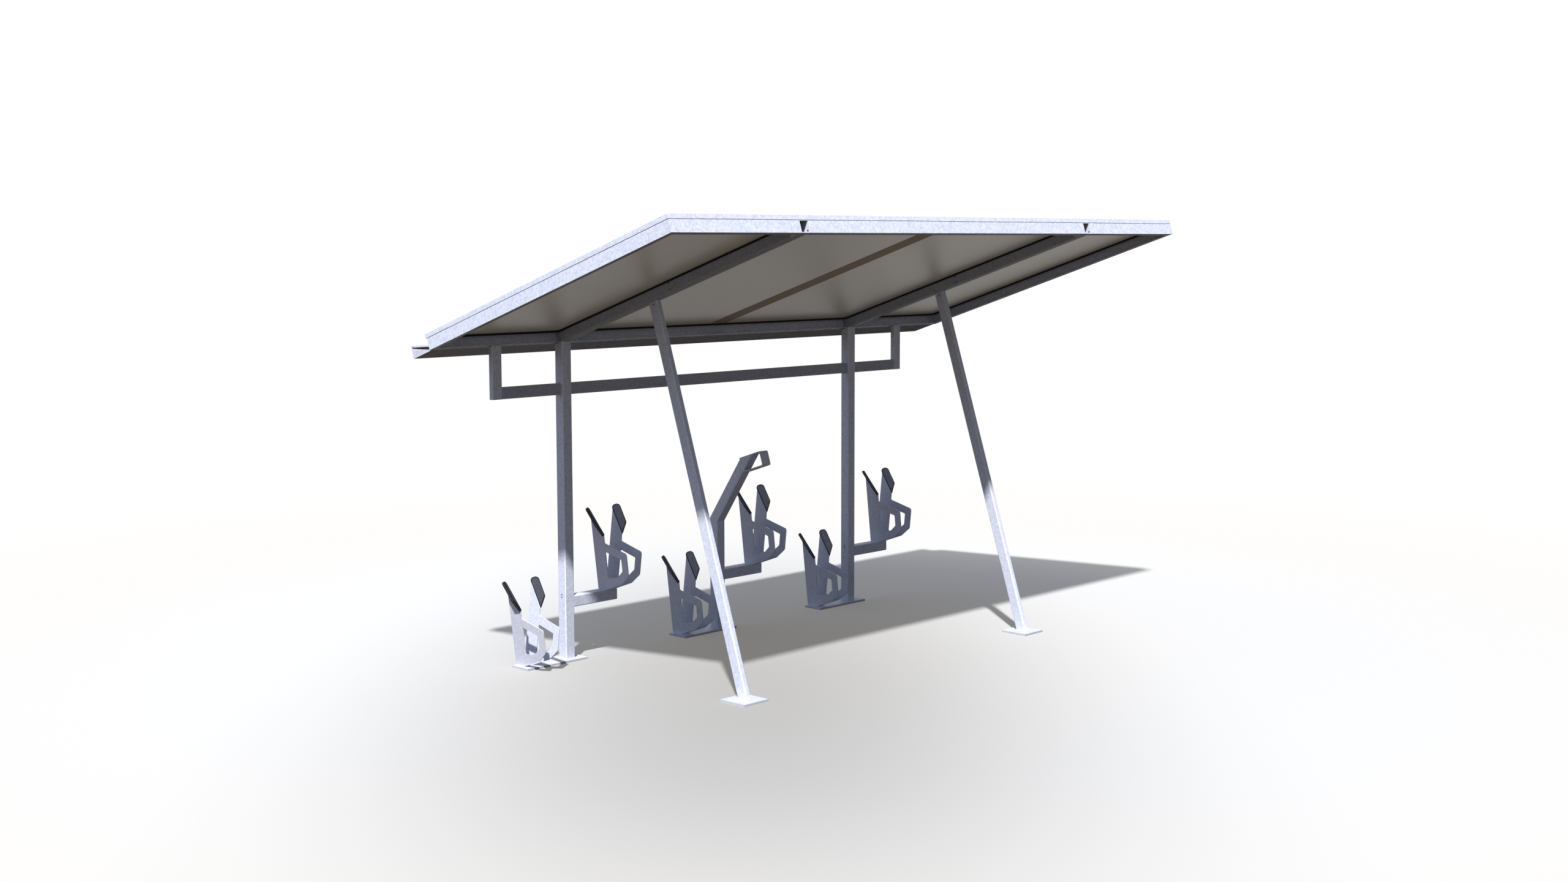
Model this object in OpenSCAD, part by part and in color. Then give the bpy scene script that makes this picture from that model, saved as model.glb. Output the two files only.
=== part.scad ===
/* [Overall] */
// Distance between the two rear posts, centre to centre
post_spacing = 2920; // [2600:10:3400]
// Height of the roof frame's underside above the rear posts' centre line
eave_height = 2200; // [2050:10:2500]
// Slope of the roof in degrees, falling to the rear
roof_pitch = 18; // [10:1:22]
// Length of the roof along the row of posts
roof_length = 5110; // [4600:10:5800]
// Length of the roof frame down the slope
roof_slope = 2400; // [2100:10:2700]
// How far the roof frame reaches past the rear posts' centre line, down the slope
rear_reach = 8; // [0:1:20]

/* [Tubes] */
// Side of the square tube of posts, rack arms and lock post
post_size = 80; // [70:5:100]
// Broad side of the flat tube of front legs and rear rail
flat_broad = 80; // [60:5:90]
// Narrow side of the flat tube of front legs and rear rail
flat_narrow = 40; // [30:5:50]
// Wall of every tube
tube_wall = 4; // [3:0.5:5]
// Outside corner radius of every tube
tube_radius = 8; // [6:1:10]

/* [Roof frame] */
// Depth of rafters and edge channels
frame_depth = 80; // [70:5:100]
// Width of a rafter tube
rafter_width = 80; // [60:5:100]
// Width of the edge channels' flanges
edge_flange = 40; // [30:5:60]
// Sheet thickness of the edge channels
edge_wall = 4; // [3:0.5:6]
// Thickness of the roof deck boards
deck_thickness = 27; // [18:1:35]
// How far the deck stands out past the front and side edge channels
deck_overhang = 1; // [0.5:0.5:4]
// How far the deck stands out past the rear edge channel, over the gutter
deck_drip = 10; // [6:1:16]
// Gap between the two deck boards at the middle joint
deck_joint = 4; // [2:1:10]
// Width of the joint strip under the deck
strip_width = 160; // [120:5:200]
// Thickness of the joint strip
strip_thickness = 2; // [1.5:0.5:6]
// Sheet thickness of the roof trim
trim_wall = 1.5; // [1:0.5:3]
// Width of the roof trim on top of the deck
trim_width = 60; // [40:5:80]
// Open gap between the edge channels and the roof trim
trim_gap = 1; // [0.5:0.5:3]

/* [Gutter] */
// Width of the gutter floor
gutter_width = 210; // [160:5:260]
// Height of the gutter's rear wall
gutter_height = 85; // [80:5:120]
// Sheet thickness of the gutter
gutter_wall = 3; // [2:0.5:4]
// How far each gutter end stays inside the roof frame's end
gutter_inset = 19; // [10:1:40]
// Width of the folded lip on the rear wall
gutter_lip = 12; // [8:1:16]
// Height of the lip's turned-down edge
gutter_return = 12; // [6:1:18]

/* [Front legs] */
// Distance from rear posts to front legs, measured along the slope
leg_set_out = 980; // [900:10:1200]
// Side of the square foot plate
foot_size = 215; // [180:5:260]
// Thickness of the foot plate
foot_thickness = 15; // [10:1:20]

/* [Rear rail] */
// How far the rail's lower edge hangs below the roof frame's underside at the posts' centre line
rail_drop = 352; // [250:1:450]
// Distance from the roof frame's end to the rail's end
rail_end_inset = 477; // [420:1:540]

/* [Rack units] */
// Length of a base plate
base_length = 530; // [500:5:600]
// Depth of a base plate
base_depth = 170; // [150:5:200]
// Thickness of a base plate
base_thickness = 15; // [10:1:20]
// How far a base plate reaches past its post's centre on the bare side
base_short_reach = 115; // [90:5:130]
// Height of the post foot's top edge, level with the top of the rack arm
foot_post_top = 452; // [420:1:500]
// Distance from the post's centre to the middle of the low rack
low_rack_offset = 340; // [320:5:370]
// Distance from the post's centre to the middle of the high rack
high_rack_offset = 365; // [330:5:400]
// How far the arm reaches past the middle of its rack
arm_past_rack = 65; // [45:5:80]

/* [Rack] */
// Sheet thickness of a rack
rack_sheet = 6; // [4:0.5:8]
// Clear width between the cheeks at the bottom
slot_width = 65; // [55:1:80]
// Outward lean of each cheek in degrees
cheek_lean = 7; // [4:0.5:9]
// Length of the flat seat under a rack
seat_length = 90; // [80:2:110]
// Height of a cheek at its rear edge
cheek_height = 552; // [520:2:600]
// Width of a cheek's blade, rear to front
blade_width = 118; // [100:2:130]
// Height of the front end of the blade's sloping top edge
blade_front = 395; // [380:1:420]
// Height where the hoop's upper edge leaves the blade
hoop_root = 342; // [330:1:360]
// Reach of the hoop from the cheek's rear edge
hoop_reach = 338; // [310:2:370]
// Height of the hoop's upper front corner
hoop_top = 288; // [270:1:310]
// Height of the hoop's lower front corner
hoop_low = 131; // [120:1:150]
// Reach of the hoop's lower corner from the cheek's rear edge
hoop_toe = 260; // [240:2:280]
// Height of the hoop's lower corner
toe_height = 62; // [55:1:75]
// Width of the band around the hoop's window
hoop_band = 59; // [45:1:65]
// Height of the lower rear corner of the hoop's window
window_sill = 87; // [80:1:95]
// Rounding of the hoop's outer corners
hoop_radius = 22; // [12:1:30]
// Rounding of the window's corners
window_radius = 9; // [5:1:15]

/* [Guide flanges] */
// Width of the guide flange
guide_width = 56; // [44:2:64]
// Outward bend of the guide flange in degrees
guide_bend = 51; // [40:1:60]
// Length of the slanted cut at the guide flange's lower end
guide_cut = 75; // [60:5:90]
// Rubber thickness over the guide flange
cap_thickness = 4.5; // [3:0.5:6]
// Clearance between the rubber cap and the flange in it
cap_fit = 0.3; // [0.2:0.1:0.6]

/* [Lock post] */
// Height of the bend in the lock post
bend_height = 830; // [780:5:900]
// Forward lean of the post above the bend in degrees
lock_lean = 34.5; // [25:0.5:40]
// Length of the leaning part along its axis
lock_arm_length = 600; // [520:5:680]
// Thickness of the lock loop's flat bar
loop_bar = 8; // [6:1:10]
// Length of the loop's upper run
loop_length = 222; // [190:2:260]
// Height of the loop over its two runs
loop_height = 110; // [90:1:125]
// Outside bend radius of the loop
loop_radius = 14; // [11:1:18]

/* [Holes] */
// Radius of the bolt holes
hole_radius = 6.5; // [4:0.5:7]
// Distance of each splice hole from the post joint
splice_offset = 9; // [8.5:0.5:15]
// Distance of the leg's hole below the rafter
leg_hole_drop = 20; // [12:1:40]
// Distance of the rafter's hole pair in front of the leg
pair_set_out = 203; // [120:1:260]
// Distance between the holes of a rafter's pair
pair_pitch = 42; // [30:1:50]
// Distance of the rafter's end hole from its front end
end_hole_inset = 17; // [12:1:40]
// Height of the rafter's end hole above the underside
end_hole_rise = 18; // [14:1:30]
// Distance of the vent hole below the lock post's slanted top, down its front face
vent_drop = 8; // [7.5:0.5:20]

/* [Hidden] */
$fn = 48;
big = 20000;
overcut = 20;
units = ["left", "middle", "right"];
unit_x = [-post_spacing / 2, 0, post_spacing / 2];
sides = [-1, 1];

// Down-slope positions, counted from the rear posts' centre line along the roof frame's underside
slope_rear = rear_reach;
slope_front = rear_reach - roof_slope;
gutter_back = slope_rear + gutter_width;

// Level reach of the roof to the front and of the gutter to the rear, and the posts' place between them
front_edge_y = slope_front * cos(roof_pitch);
rear_edge_y = gutter_back * cos(roof_pitch) + gutter_height * sin(roof_pitch);
post_y = -(front_edge_y + rear_edge_y) / 2;

half_roof = roof_length / 2;
half_rafter = rafter_width / 2;
half_post = post_size / 2;
half_space = post_spacing / 2;
deck_top = frame_depth + deck_thickness;
trim_edge = deck_overhang + trim_wall;
drip_edge = deck_drip + trim_wall;

// Front foot: where the leg's axis, square to the roof, meets the top of the foot plate
leg_drop = (eave_height + leg_set_out * sin(roof_pitch) - foot_thickness) / cos(roof_pitch);
foot_y = post_y - leg_set_out * cos(roof_pitch) - leg_drop * sin(roof_pitch);

rail_height = eave_height - rail_drop;
rail_end_x = half_roof - rail_end_inset;
arm_z = foot_post_top - post_size;
arm_end = high_rack_offset + arm_past_rack;

// Rack cheek
guide_angle = atan2(cheek_height - blade_front, blade_width);
guide_length = norm([cheek_height - blade_front, blade_width]);
cheek_lift = rack_sheet * sin(cheek_lean);
fold_inset = rack_sheet / 2;

galvanised = "#b9bdc9";
rubber = "#2c2d31";
board = "#8a857d";

// Corner i of a closed outline, rounded to radius r as an arc of short chords
function corner_arc(pts, i, r, steps = 6) =
    let (n = len(pts), p = pts[i], a = pts[(i + n - 1) % n] - p, b = pts[(i + 1) % n] - p,
         ua = a / norm(a), ub = b / norm(b), half = acos(ua * ub) / 2,
         mid = (ua + ub) / norm(ua + ub), centre = p + mid * r / sin(half),
         ta = p + ua * r / tan(half) - centre, tb = p + ub * r / tan(half) - centre,
         a0 = atan2(ta[1], ta[0]), turn = atan2(tb[1], tb[0]) - a0,
         sweep = turn > 180 ? turn - 360 : turn < -180 ? turn + 360 : turn)
    [for (k = [0 : steps]) centre + r * [cos(a0 + sweep * k / steps), sin(a0 + sweep * k / steps)]];

// Closed outline with each corner i rounded to radii[i], and left sharp at zero
function rounded(pts, radii) =
    [for (i = [0 : len(pts) - 1])
        for (q = radii[i] > 0 ? corner_arc(pts, i, radii[i]) : [pts[i]]) q];

module rounded_box(w, d, r) {
    square([w - 2 * r, d], center = true);
    square([w, d - 2 * r], center = true);
    for (sx = sides, sy = sides)
        translate([sx * (w / 2 - r), sy * (d / 2 - r)])
            circle(r);
}

// Rolled tube along +Z, w along X and d along Y, with a closed lower end where closed is true
module tube(w, d, length, closed = false) {
    difference() {
        linear_extrude(length)
            rounded_box(w, d, tube_radius);
        translate([0, 0, closed ? tube_wall : -overcut])
            linear_extrude(length + 2 * overcut)
                rounded_box(w - 2 * tube_wall, d - 2 * tube_wall, tube_radius - tube_wall);
    }
}

// Children are placed in the roof frame's own axes: X, down the slope, square to the slope
module on_roof() {
    translate([0, post_y, eave_height])
        rotate([-roof_pitch, 0, 0])
            children();
}

// Everything on the roof side of the roof frame's underside
module above_roof_plane() {
    on_roof()
        translate([-big / 2, -big / 2, 0])
            cube(big);
}

// Bolt hole along X through one tube wall whose outer face is at x
module wall_hole(x, wall) {
    translate([x - wall, 0, 0])
        rotate([0, 90, 0])
            cylinder(r = hole_radius, h = 2 * wall);
}

module base_plate(x) {
    color(galvanised)
        translate([x + base_short_reach - base_length, post_y - base_depth / 2, 0])
            cube([base_length, base_depth, base_thickness]);
}

module post_foot(x) {
    color(galvanised)
        translate([x, post_y, base_thickness])
            difference() {
                tube(post_size, post_size, foot_post_top - base_thickness);
                translate([0, 0, foot_post_top - base_thickness - splice_offset])
                    wall_hole(-half_post, tube_wall);
            }
}

module rack_arm(x) {
    color(galvanised)
        translate([x + arm_end, post_y, arm_z + half_post])
            rotate([0, -90, 0])
                tube(post_size, post_size, arm_end - half_post, true);
}

module cheek_outline() {
    polygon(rounded(
        [[0, 0], [0, cheek_height], [blade_width, blade_front], [blade_width, hoop_root],
         [hoop_reach, hoop_top], [hoop_reach, hoop_low], [hoop_toe, toe_height], [seat_length, 0]],
        [0, 0, 0, window_radius, hoop_radius, hoop_radius, hoop_radius, 0]));
}

// The hoop's window: its upper, front and slanted edges keep the band's width from the cheek's outline
module cheek_window() {
    fall = (hoop_root - hoop_top) / (hoop_reach - blade_width);
    rise = (hoop_low - toe_height) / (hoop_reach - hoop_toe);
    front = hoop_reach - hoop_band;
    upper = hoop_root - hoop_band * norm([1, fall]);
    toe = [hoop_toe, toe_height] + hoop_band * [-rise, 1] / norm([1, rise]);
    polygon(rounded(
        [[blade_width, window_sill], [blade_width, upper], [front, upper - (front - blade_width) * fall],
         [front, toe[1] + (front - toe[0]) * rise], toe],
        [for (i = [0 : 4]) window_radius]));
}

// Guide flange's outline, its root on Y = 0 a little inside the fold's ends, grown outwards by grow
module guide_outline(grow) {
    end_radius = 0.42 * guide_width;
    polygon(rounded(
        [[guide_length - fold_inset + 2 * grow, -grow], [guide_length - guide_cut + grow, guide_width + grow],
         [-guide_width / 2 - grow, guide_width + grow], [-guide_width / 2 - grow, guide_width / 5 - grow],
         [fold_inset - grow, -grow]],
        [0, guide_width / 4, end_radius + grow, end_radius + grow, 0]));
}

// Children are placed on the guide flange's plane: X down its fold, Y across the flange, Z outwards
module on_guide() {
    translate([0, cheek_height, 0])
        rotate([0, 0, -guide_angle])
            rotate([guide_bend, 0, 0])
                children();
}

// Children drawn flat, rear to front along X and up along Y, become the left cheek, leaning outwards
module as_cheek() {
    translate([-slot_width / 2, 0, cheek_lift])
        rotate([0, -cheek_lean, 0])
            rotate([0, 0, -90])
                rotate([90, 0, 0])
                    children();
}

module both_cheeks() {
    for (side = [0, 1])
        mirror([side, 0, 0])
            as_cheek()
                children();
}

module cheek_sheet() {
    linear_extrude(rack_sheet)
        difference() {
            cheek_outline();
            cheek_window();
        }
    on_guide()
        linear_extrude(rack_sheet)
            guide_outline(0);
}

module rack() {
    both_cheeks()
        cheek_sheet();
    translate([-slot_width / 2 - rack_sheet / 2, fold_inset - seat_length, 0])
        cube([slot_width + rack_sheet, seat_length - 2 * fold_inset, rack_sheet]);
}

module rack_caps() {
    both_cheeks()
        on_guide()
            difference() {
                translate([0, 0, -cap_thickness])
                    linear_extrude(rack_sheet + 2 * cap_thickness)
                        difference() {
                            guide_outline(cap_thickness);
                            translate([-big / 2, cap_thickness - big])
                                square(big);
                        }
                translate([0, 0, -cap_fit])
                    linear_extrude(rack_sheet + 2 * cap_fit)
                        guide_outline(cap_fit);
            }
}

module at_low_rack(x) {
    translate([x - low_rack_offset, post_y + base_depth / 2, base_thickness])
        children();
}

module at_high_rack(x) {
    translate([x + high_rack_offset, post_y + half_post, foot_post_top])
        children();
}

module low_rack(x) {
    color(galvanised)
        at_low_rack(x)
            rack();
}

module high_rack(x) {
    color(galvanised)
        at_high_rack(x)
            rack();
}

module unit_caps(x) {
    color(rubber) {
        at_low_rack(x)
            rack_caps();
        at_high_rack(x)
            rack_caps();
    }
}

module rear_post(x) {
    color(galvanised)
        difference() {
            translate([x, post_y, foot_post_top])
                tube(post_size, post_size, eave_height);
            above_roof_plane();
            translate([x, post_y, foot_post_top + splice_offset])
                wall_hole(-half_post, tube_wall);
        }
}

// Children are placed at the lock post's bend
module at_bend() {
    translate([0, post_y, bend_height])
        children();
}

// Rear end of the lock post's slanted top, as level and upright distances from the bend
lock_tip = lock_arm_length * [sin(lock_lean), cos(lock_lean)];
tip_half = half_post / cos(lock_lean + roof_pitch);
// How much longer the leaning part is on its front face than on its axis
tip_rise = half_post * tan(lock_lean + roof_pitch);

// Children are placed on the lock post's slanted top: origin at its rear end, X across, Y rearwards along it
module on_lock_top() {
    at_bend()
        translate([0, -lock_tip[0] + tip_half * cos(roof_pitch), lock_tip[1] - tip_half * sin(roof_pitch)])
            rotate([-roof_pitch, 0, 0])
                children();
}

module lock_post() {
    color(galvanised)
        difference() {
            translate([0, post_y, foot_post_top])
                tube(post_size, post_size, bend_height);
            at_bend()
                rotate([lock_lean / 2, 0, 0])
                    translate([-big / 2, -big / 2, 0])
                        cube(big);
            translate([0, post_y, foot_post_top + splice_offset])
                wall_hole(-half_post, tube_wall);
        }
}

module lock_arm() {
    color(galvanised)
        difference() {
            at_bend()
                rotate([lock_lean, 0, 0])
                    translate([0, 0, -post_size])
                        tube(post_size, post_size, 2 * lock_arm_length);
            at_bend()
                rotate([lock_lean / 2, 0, 0])
                    translate([-big / 2, -big / 2, -big])
                        cube(big);
            on_lock_top()
                translate([-big / 2, -big / 2, 0])
                    cube(big);
            at_bend()
                rotate([lock_lean, 0, 0])
                    translate([0, 0, lock_arm_length + tip_rise - vent_drop])
                        rotate([0, 0, 90])
                            wall_hole(-half_post, tube_wall);
        }
}

module lock_loop() {
    color(galvanised)
        difference() {
            on_lock_top()
                translate([-half_post, 0, 0])
                    rotate([90, 0, 90])
                        linear_extrude(post_size)
                            difference() {
                                translate([0, loop_bar - loop_height / 2])
                                    rounded_box(2 * loop_length, loop_height, loop_radius);
                                translate([0, loop_bar - loop_height / 2])
                                    rounded_box(2 * (loop_length - loop_bar), loop_height - 2 * loop_bar,
                                        loop_radius - loop_bar);
                                translate([0, loop_bar - loop_height / 2])
                                    square(big);
                                translate([tip_half, -big / 2])
                                    square(big);
                            }
            lock_post_clear();
        }
}

// The leaning part of the lock post as a full bar, wider than the loop, which the loop's lower run stops against
module lock_post_clear() {
    difference() {
        at_bend()
            rotate([lock_lean, 0, 0])
                translate([-half_post - overcut, -half_post, 0])
                    cube([post_size + 2 * overcut, post_size, 2 * lock_arm_length]);
        on_lock_top()
            translate([-big / 2, -big / 2, 0])
                cube(big);
    }
}

module front_leg(x) {
    color(galvanised)
        difference() {
            on_roof()
                translate([x, -leg_set_out, -leg_drop - flat_broad])
                    tube(flat_narrow, flat_broad, leg_drop + flat_broad);
            translate([-big / 2, -big / 2, foot_thickness - big])
                cube(big);
            on_roof()
                translate([x, -leg_set_out, -leg_hole_drop])
                    wall_hole(-flat_narrow / 2, tube_wall);
        }
}

module front_foot(x) {
    color(galvanised)
        translate([x - foot_size / 2, foot_y - foot_size / 2, 0])
            cube([foot_size, foot_size, foot_thickness]);
}

// Flat tube of the rail along X between two ends
module rail_tube(x0, x1) {
    color(galvanised)
        translate([x0, post_y, rail_height + flat_broad / 2])
            rotate([0, 90, 0])
                tube(flat_broad, flat_narrow, x1 - x0);
}

module rail_upright(side) {
    color(galvanised)
        difference() {
            translate([side * (rail_end_x - flat_broad / 2), post_y, rail_height])
                tube(flat_broad, flat_narrow, eave_height, true);
            above_roof_plane();
        }
}

module end_rail(side) {
    inner = half_space + half_post;
    outer = rail_end_x - flat_broad;
    rail_tube(side < 0 ? -outer : inner, side < 0 ? -inner : outer);
}

module middle_rail() {
    reach = half_space - half_post;
    rail_tube(-reach, reach);
}

module rafter(x) {
    color(galvanised)
        on_roof()
            difference() {
                translate([x, slope_rear, frame_depth / 2])
                    rotate([90, 0, 0])
                        tube(rafter_width, frame_depth, roof_slope, true);
                translate([x, -leg_set_out - pair_set_out, frame_depth / 2])
                    for (up = sides)
                        translate([0, 0, up * pair_pitch / 2])
                            wall_hole(-half_rafter, tube_wall);
                translate([x, slope_front + end_hole_inset, end_hole_rise])
                    wall_hole(half_rafter, tube_wall);
            }
}

// Edge channel's section: outer face at X = 0, flanges reaching inwards
module channel_section() {
    square([edge_wall, frame_depth]);
    for (z = [0, frame_depth - edge_wall])
        translate([0, z])
            square([edge_flange, edge_wall]);
}

// Edge channel along +Y with its outer face at X = 0, mitred where mitre0 or mitre1 is 1
module channel(length, mitre0, mitre1, width) {
    intersection() {
        translate([0, length, 0])
            rotate([90, 0, 0])
                linear_extrude(length)
                    children();
        translate([0, 0, -big / 2])
            linear_extrude(big)
                polygon([[0, 0], [width, width * mitre0], [width, length - width * mitre1], [0, length]]);
    }
}

// Children run along the roof's front edge, outer face forwards, X becoming inwards and Y to the left
module along_front(x, slope) {
    translate([x, slope, 0])
        rotate([0, 0, 90])
            children();
}

// Children run along the roof's rear edge, outer face to the rear, X becoming inwards and Y to the right
module along_rear(x, slope) {
    translate([x, slope, 0])
        rotate([0, 0, -90])
            children();
}

bay = half_space - half_rafter;
end_bay = half_roof - half_space - half_rafter;

module front_edge() {
    color(galvanised)
        on_roof() {
            along_front(bay, slope_front)
                channel(2 * bay, 0, 0, edge_flange)
                    channel_section();
            along_front(-half_space - half_rafter, slope_front)
                channel(end_bay, 0, 1, edge_flange)
                    channel_section();
            along_front(half_roof, slope_front)
                channel(end_bay, 1, 0, edge_flange)
                    channel_section();
        }
}

module rear_edge() {
    color(galvanised)
        on_roof() {
            along_rear(-bay, slope_rear)
                channel(2 * bay, 0, 0, edge_flange)
                    channel_section();
            along_rear(-half_roof, slope_rear)
                channel(end_bay, 1, 0, edge_flange)
                    channel_section();
            along_rear(half_space + half_rafter, slope_rear)
                channel(end_bay, 0, 1, edge_flange)
                    channel_section();
        }
}

module side_edge(side) {
    color(galvanised)
        on_roof()
            mirror([side > 0 ? 1 : 0, 0, 0])
                translate([-half_roof, slope_front, 0])
                    channel(roof_slope, 1, 1, edge_flange)
                        channel_section();
}

module deck(side) {
    color(board)
        on_roof()
            mirror([side < 0 ? 1 : 0, 0, 0])
                translate([deck_joint / 2, slope_front - deck_overhang, frame_depth])
                    cube([half_roof + deck_overhang - deck_joint / 2, roof_slope + deck_overhang + deck_drip,
                          deck_thickness]);
}

module deck_joint_strip() {
    color(board)
        on_roof()
            translate([-strip_width / 2, slope_front + edge_flange, frame_depth - strip_thickness])
                cube([strip_width, roof_slope - 2 * edge_flange, strip_thickness]);
}

// Trim's section: upright leg outside the deck's edge at X = 0, and a flange on the deck
module trim_section() {
    translate([0, frame_depth + trim_gap])
        square([trim_wall, deck_thickness - trim_gap + trim_wall]);
    translate([0, deck_top])
        square([trim_width, trim_wall]);
}

trim_across = roof_length + 2 * trim_edge;
trim_down = roof_slope + trim_edge + drip_edge;

module front_trim() {
    color(galvanised)
        on_roof()
            along_front(trim_across / 2, slope_front - trim_edge)
                channel(trim_across, 1, 1, trim_width)
                    trim_section();
}

module rear_trim() {
    color(galvanised)
        on_roof()
            along_rear(-trim_across / 2, slope_rear + drip_edge)
                channel(trim_across, 1, 1, trim_width)
                    trim_section();
}

module side_trim(side) {
    color(galvanised)
        on_roof()
            mirror([side > 0 ? 1 : 0, 0, 0])
                translate([-trim_across / 2, slope_front - trim_edge, 0])
                    channel(trim_down, 1, 1, trim_width)
                        trim_section();
}

module gutter() {
    half = half_roof - gutter_inset;
    end_rise = gutter_width * tan(roof_pitch);
    color(galvanised)
        on_roof() {
            translate([-half, slope_rear, 0])
                cube([2 * half, gutter_width, gutter_wall]);
            translate([-half, gutter_back - gutter_wall, 0])
                cube([2 * half, gutter_wall, gutter_height]);
            translate([-half, gutter_back - gutter_lip, gutter_height - gutter_wall])
                cube([2 * half, gutter_lip, gutter_wall]);
            translate([-half, gutter_back - gutter_lip, gutter_height - gutter_return])
                cube([2 * half, gutter_wall, gutter_return]);
            for (x = [-half, half - gutter_wall])
                translate([x, slope_rear, 0])
                    rotate([90, 0, 90])
                        linear_extrude(gutter_wall)
                            polygon([[0, 0], [gutter_width, 0], [gutter_width, end_rise]]);
        }
}

for (i = [0 : 2]) {
    base_plate(unit_x[i]);
    post_foot(unit_x[i]);
    rack_arm(unit_x[i]);
    low_rack(unit_x[i]);
    high_rack(unit_x[i]);
    unit_caps(unit_x[i]);
}
rear_post(-half_space);  // left_rear_post
rear_post(half_space);  // right_rear_post
lock_post();
lock_arm();
lock_loop();
front_leg(-half_space);  // left_front_leg
front_leg(half_space);  // right_front_leg
front_foot(-half_space);  // left_front_foot
front_foot(half_space);  // right_front_foot
end_rail(-1);  // left_rail
middle_rail();
end_rail(1);  // right_rail
rail_upright(-1);  // left_rail_upright
rail_upright(1);  // right_rail_upright
rafter(-half_space);  // left_rafter
rafter(half_space);  // right_rafter
front_edge();
rear_edge();
side_edge(-1);  // left_edge
side_edge(1);  // right_edge
deck(-1);  // left_deck
deck(1);  // right_deck
deck_joint_strip();
front_trim();
rear_trim();
side_trim(-1);  // left_trim
side_trim(1);  // right_trim
gutter();
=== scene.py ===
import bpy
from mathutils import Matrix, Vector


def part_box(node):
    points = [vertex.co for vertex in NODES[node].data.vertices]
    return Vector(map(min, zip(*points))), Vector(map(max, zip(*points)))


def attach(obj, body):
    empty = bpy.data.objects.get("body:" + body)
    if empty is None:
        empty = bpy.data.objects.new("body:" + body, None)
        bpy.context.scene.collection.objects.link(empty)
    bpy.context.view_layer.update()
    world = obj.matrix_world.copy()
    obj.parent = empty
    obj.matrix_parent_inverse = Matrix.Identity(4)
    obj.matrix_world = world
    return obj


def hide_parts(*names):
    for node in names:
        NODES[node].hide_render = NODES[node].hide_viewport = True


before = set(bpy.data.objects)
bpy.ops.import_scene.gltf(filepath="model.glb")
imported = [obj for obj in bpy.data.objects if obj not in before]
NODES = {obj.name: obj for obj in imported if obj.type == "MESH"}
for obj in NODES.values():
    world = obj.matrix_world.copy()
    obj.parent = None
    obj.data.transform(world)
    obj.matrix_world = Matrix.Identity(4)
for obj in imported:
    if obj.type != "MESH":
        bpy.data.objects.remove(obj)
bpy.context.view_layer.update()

import math

import bpy
import numpy as np
from mathutils import Matrix, Vector

SIDES = ("left", "middle", "right")
ENDS = ("left", "right")
BOTH_WAYS = (-1.0, 1.0)

# Sizes shared with the part's source, in metres
TUBE_CORNER = 0.008
TUBE_WALL = 0.004
EAVE_Z = 2.200
ROOF_PITCH = math.radians(18.0)
SLOPE_FRONT, SLOPE_REAR = -2.392, 0.008
FRAME_DEPTH = 0.080
EDGE_FLANGE = 0.040
GUTTER_LIP = 0.072
LEG_SET_OUT = 0.980
LEG_HOLE_DROP = 0.020
PAIR_SET_OUT = 0.203
PAIR_RISE = 0.021
SPLICE_OFFSET = 0.009
END_HOLE_INSET, END_HOLE_RISE = 0.017, 0.018
LOW_RACK_SET_BACK = 0.085
SEAT_LENGTH = 0.090
SEAT_HALF = 0.0385

# A rack's guide flange in the part's source, in metres
RACK_SHEET = 0.006
SLOT_WIDTH = 0.065
CHEEK_LEAN = math.radians(7.0)
CHEEK_HEIGHT, BLADE_FRONT, BLADE_WIDTH = 0.552, 0.395, 0.118
GUIDE_WIDTH, GUIDE_CUT = 0.056, 0.075
GUIDE_BEND = math.radians(51.0)

# Rubber caps moulded over the guide flanges
CAP_WALL = 0.0072
CAP_PAST_EDGE = 0.0055
CAP_PAST_TOE = 0.004
CAP_ROOT = 0.002
CAP_ROUND = 0.0045
CAP_CROWN = 0.0008
CAP_TOE_RADIUS = 0.0003
CAP_CORNER_POINTS, CAP_EDGE_POINTS = 17, 7

# Weld beads: their sizes, half the runs of the straight ones, and the ripple
POST_BEAD, ARM_BEAD, SEAT_BEAD, LEG_BEAD = 0.0050, 0.0042, 0.0036, 0.0048
RAIL_BEAD, CORNER_BEAD, SEAM_BEAD, RAFTER_BEAD = 0.0036, 0.0034, 0.0026, 0.0040
ARM_RUN, CORNER_RUN, RAFTER_RUN = 0.031, 0.017, 0.033
SEAT_INSET, SEAM_INSET, SEAM_SINK = 0.012, 0.004, 0.0024
BEAD_RIPPLE, BEAD_DRIFT, BEAD_TREMBLE = 0.0062, 0.047, 0.0061
BEAD_STEP = 0.0016
BEAD_SIDES = 10

# Set screws, plugs, joint lines and seals
SCREW_RADIUS, SCREW_LENGTH, SCREW_RECESS = 0.00655, 0.0110, 0.0024
PLUG_LENGTH, PLUG_RECESS = 0.0032, 0.0004
SOCKET_FLAT, SOCKET_SHARE = 0.0033, 0.4
SCREW_BEVEL, SOCKET_BEVEL = 0.0008, 0.0003
SCREW_DISH, SOCKET_DISH = 0.0002, 0.0006
SCREW_SIDES = 48
SHIM_SIZE, SHIM_SINK, SHIM_STEP = 0.0009, 0.0006, 0.003
SEAL_THICK, SEAL_TALL, SEAL_CORNER, SEAL_STEP = 0.0035, 0.0065, 0.030, 0.010
BAND_SIDES = 12


def node_middle(name):
    """Middle of a node's box at rest."""
    low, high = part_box(name)
    return (np.array(low) + np.array(high)) / 2.0


def node_half(name):
    """Half the size of a node's box at rest."""
    low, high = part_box(name)
    return (np.array(high) - np.array(low)) / 2.0


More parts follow.
